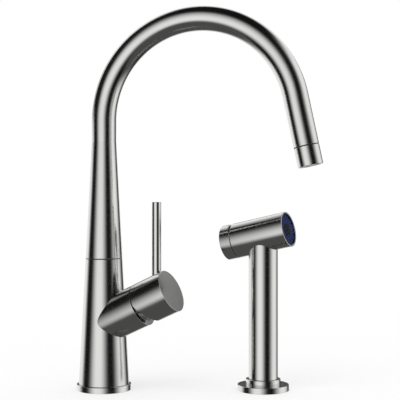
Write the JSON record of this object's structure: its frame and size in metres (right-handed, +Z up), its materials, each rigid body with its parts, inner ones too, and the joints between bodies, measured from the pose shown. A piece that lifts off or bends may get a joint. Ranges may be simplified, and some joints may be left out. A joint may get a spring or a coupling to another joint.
{
  "type": "side spray kitchen faucet",
  "caption": "Single-lever kitchen mixer with a swivelling swan-neck spout, and a hand spray with a thumb rocker that stands in its own deck holder.",
  "frame": {"origin": "centre of the mixer's underside, on the deck", "axes": "+Z up from the deck, +X towards the centre of the spray holder, -Y towards the user"},
  "size_m": [0.2479, 0.104, 0.3894],
  "materials": {
    "satin_steel": "satin brushed stainless",
    "polished_steel": "fine polished",
    "machined_steel": "machined",
    "spring_steel": "drawn wire",
    "brass_core": "turned",
    "ceramic": "lapped",
    "black_rubber": "matt",
    "white_plastic": "moulded",
    "grey_plastic": "moulded",
    "navy_plastic": "moulded",
    "blue_rubber": "soft",
    "black_plastic": "moulded"
  },
  "bodies": {
    "main_body": {"base_flange": "satin_steel", "base_seal": "black_rubber", "body_shell": "satin_steel", "waterway_block": "brass_core", "valve_chamber": "brass_core", "port_seals": "black_rubber", "cartridge_body": "white_plastic", "fixed_disc": "ceramic", "cartridge_nut": "brass_core", "valve_trim_ring": "satin_steel", "spout_post": "brass_core", "spout_seals": "black_rubber", "lower_glide_ring": "white_plastic", "upper_glide_ring": "white_plastic", "diverter_cage": "white_plastic", "diverter_spring": "spring_steel", "holder_flange": "satin_steel", "holder_seal": "black_rubber"},
    "diverter": {"diverter_poppet": "brass_core"},
    "spout": {"spout_tube": "satin_steel", "spout_grub_screw": "machined_steel", "aerator_ring": "satin_steel", "aerator_washer": "black_rubber", "aerator_insert": "white_plastic"},
    "rotor": {"cartridge_rotor": "white_plastic", "lever_pivot_pin": "machined_steel"},
    "disc": {"moving_disc": "ceramic"},
    "handle": {"handle_cap": "satin_steel", "lever_skirt": "satin_steel", "handle_grub_screw": "machined_steel", "lever_rod": "polished_steel", "lever_stem": "machined_steel"},
    "docking": {"docking_liner": "grey_plastic"},
    "spray": {"spray_shell": "satin_steel", "hose_socket": "brass_core", "riser_tube": "white_plastic", "spray_valve_block": "white_plastic", "flow_cup": "white_plastic", "spray_plate": "navy_plastic", "spray_nozzles": "blue_rubber", "jet_disc": "black_plastic", "trigger_pin": "machined_steel", "plunger_spring": "spring_steel"},
    "plunger": {"valve_plunger": "white_plastic", "plunger_seal": "black_rubber"},
    "trigger": {"trigger_cap": "satin_steel"}
  },
  "joints": [
    {"name": "spout_swivel", "type": "hinge", "parent": "main_body", "child": "spout", "pos_m": [0, 0, 0.1352], "axis": [0, 0, 1], "continuous": true},
    {"name": "temperature_turn", "type": "hinge", "parent": "main_body", "child": "rotor", "pos_m": [0, 0, 0.0683], "axis": [0.8373, -0.3468, 0.4226], "range_deg": [-45, 45]},
    {"name": "lever_tilt", "type": "hinge", "parent": "rotor", "child": "handle", "pos_m": [0.03307, -0.0137, 0.08499], "axis": [0.3827, 0.9239, 0], "range_deg": [0, 20]},
    {"name": "disc_slide", "type": "slide", "parent": "rotor", "child": "disc", "axis": [-0.3904, 0.1617, 0.9063], "range_m": [0, 0.00417]},
    {"name": "diverter_slide", "type": "slide", "parent": "main_body", "child": "diverter", "axis": [0, 0, 1], "range_m": [0, 0.003], "stiffness_N_per_m": 60, "springref_m": -0.004, "deforming": ["diverter_spring"]},
    {"name": "spray_turn", "type": "hinge", "parent": "main_body", "child": "docking", "pos_m": [0.1639, 0, 0], "axis": [0, 0, 1], "range_deg": [-180, 180]},
    {"name": "spray_lift", "type": "slide", "parent": "docking", "child": "spray", "axis": [0, 0, 1], "range_m": [0, 0.038]},
    {"name": "trigger_rock", "type": "hinge", "parent": "spray", "child": "trigger", "pos_m": [0.13453, 0.01401, 0.15813], "axis": [0.4305, 0.9026, 0], "range_deg": [0, 10], "stiffness_Nm_per_rad": 0.15, "springref_deg": -14.32},
    {"name": "plunger_slide", "type": "slide", "parent": "spray", "child": "plunger", "axis": [0.8812, -0.4203, 0.2164], "range_m": [0, 0.00102], "deforming": ["plunger_spring"]}
  ],
  "couplings": [
    {"joint": "disc_slide", "follows": "lever_tilt", "m_per_rad": 0.0119},
    {"joint": "plunger_slide", "follows": "trigger_rock", "m_per_rad": 0.0058}
  ]
}
